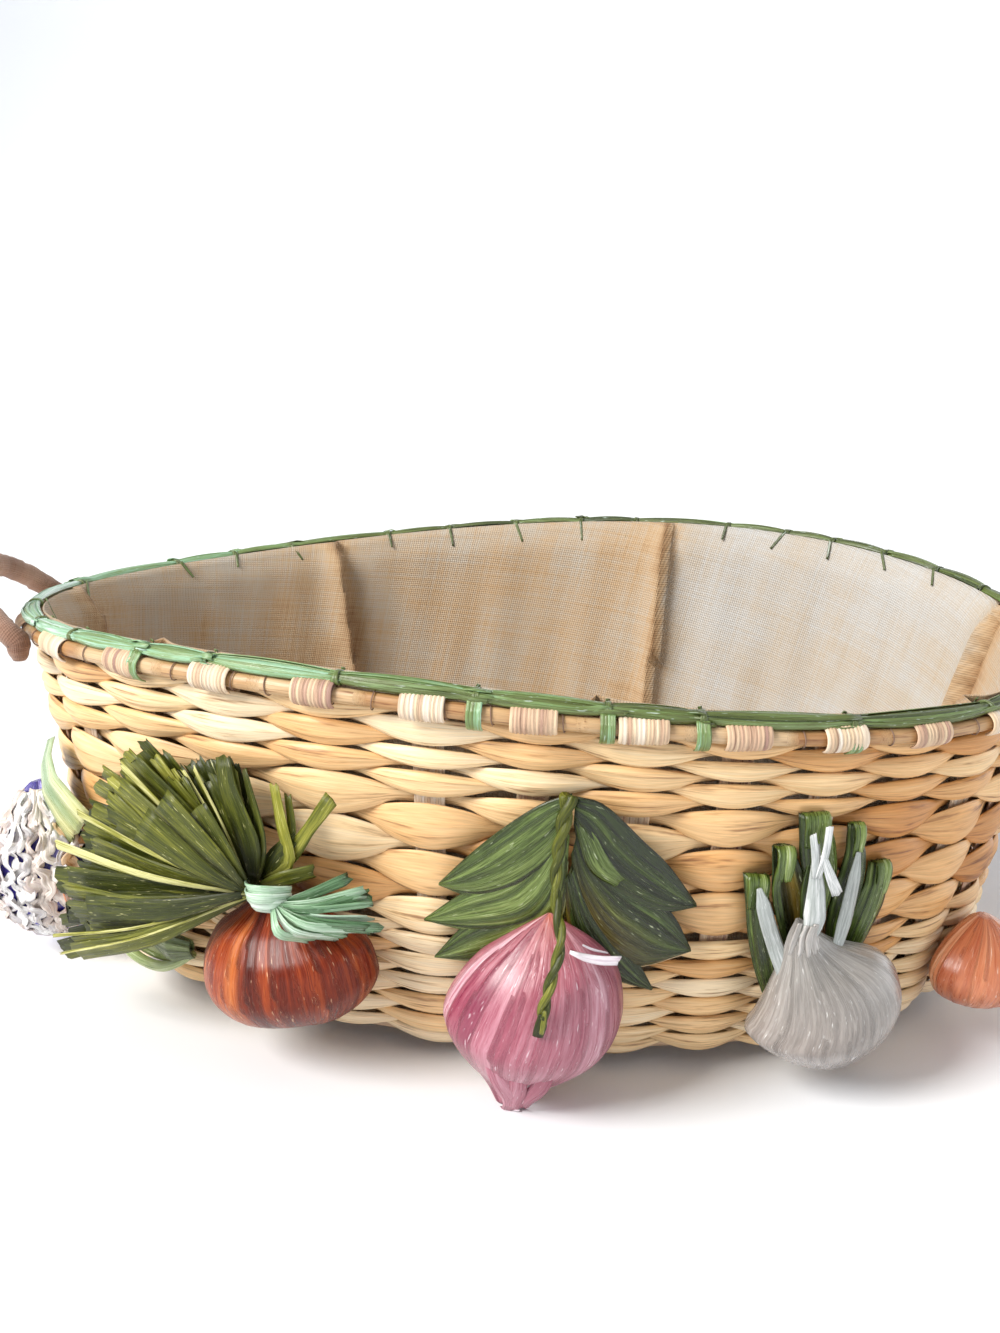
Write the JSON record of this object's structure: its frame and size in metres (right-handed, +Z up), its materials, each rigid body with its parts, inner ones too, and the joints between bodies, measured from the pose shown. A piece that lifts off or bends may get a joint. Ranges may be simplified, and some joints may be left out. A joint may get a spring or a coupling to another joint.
{
  "type": "oval woven basket",
  "caption": "Shallow oval woven basket with a cloth lining, two end handles and raffia vegetables sewn round its wall.",
  "frame": {"origin": "middle of the whole basket's outline, on the surface that it stands on", "axes": "+X along the oval's long way, +Y towards the plain back, +Z up; the vegetables are on the -Y side and the ends"},
  "size_m": [0.5278, 0.346, 0.1915],
  "materials": {
    "straw_weavers": "flat twisted plant-stem weavers, satin, lengthwise creases",
    "straw_rod": "round straw rod, satin",
    "wrapped_stakes": "fine fibre wrapping, matt",
    "rim_raffia": "dyed raffia overcast stitches, mint at one end to olive at the other",
    "lining_cloth": "plain-woven natural plant-fibre cloth, matt",
    "pink_raffia": "rose-pink raffia skin, glossy",
    "brown_raffia": "reddish-brown raffia skin, glossy",
    "white_raffia": "pearly white raffia, glossy",
    "orange_raffia": "salmon-orange raffia skin, glossy",
    "violet_raffia": "violet raffia skin, glossy",
    "leaf_raffia": "dark green raffia leaves, glossy",
    "moss_raffia": "olive-green cut ribbon raffia, satin",
    "mint_raffia": "pale aqua-green raffia, glossy"
  },
  "bodies": {
    "root": {"weaver_01": "straw_weavers", "weaver_02": "straw_weavers", "weaver_03": "straw_weavers", "weaver_04": "straw_weavers", "weaver_05": "straw_weavers", "weaver_06": "straw_weavers", "weaver_07": "straw_weavers", "weaver_08": "straw_weavers", "weaver_09": "straw_weavers", "weaver_10": "straw_weavers", "weaver_11": "straw_weavers", "weaver_12": "straw_weavers", "weaver_13": "straw_weavers", "weaver_14": "straw_weavers", "weaver_15": "straw_weavers", "weaver_16": "straw_weavers", "weaver_17": "straw_weavers", "weaver_18": "straw_weavers", "weaver_19": "straw_weavers", "weaver_20": "straw_weavers", "weaver_21": "straw_weavers", "weaver_22": "straw_weavers", "weaver_23": "straw_weavers", "weaver_24": "straw_weavers", "stake_frame": "wrapped_stakes", "base_pad": "straw_weavers", "rim_rod": "straw_rod", "rim_edging": "rim_raffia", "lining": "lining_cloth", "handle_left": "lining_cloth", "handle_right": "lining_cloth", "pink_onion": "pink_raffia", "leaf_fan_left": "leaf_raffia", "leaf_fan_right": "leaf_raffia", "stem_cord": "moss_raffia", "brown_onion": "brown_raffia", "onion_tuft": "moss_raffia", "bow_left": "mint_raffia", "bow_right": "mint_raffia", "garlic": "white_raffia", "sprout_left": "white_raffia", "sprout_middle": "white_raffia", "sprout_right": "white_raffia", "orange_gourd": "orange_raffia", "violet_body": "violet_raffia", "bead_string": "white_raffia", "side_leaf": "leaf_raffia", "green_pod": "leaf_raffia", "garlic_leaf_1": "leaf_raffia", "garlic_leaf_2": "leaf_raffia", "garlic_leaf_3": "leaf_raffia", "garlic_leaf_4": "leaf_raffia", "garlic_leaf_5": "leaf_raffia"}
  },
  "joints": []
}
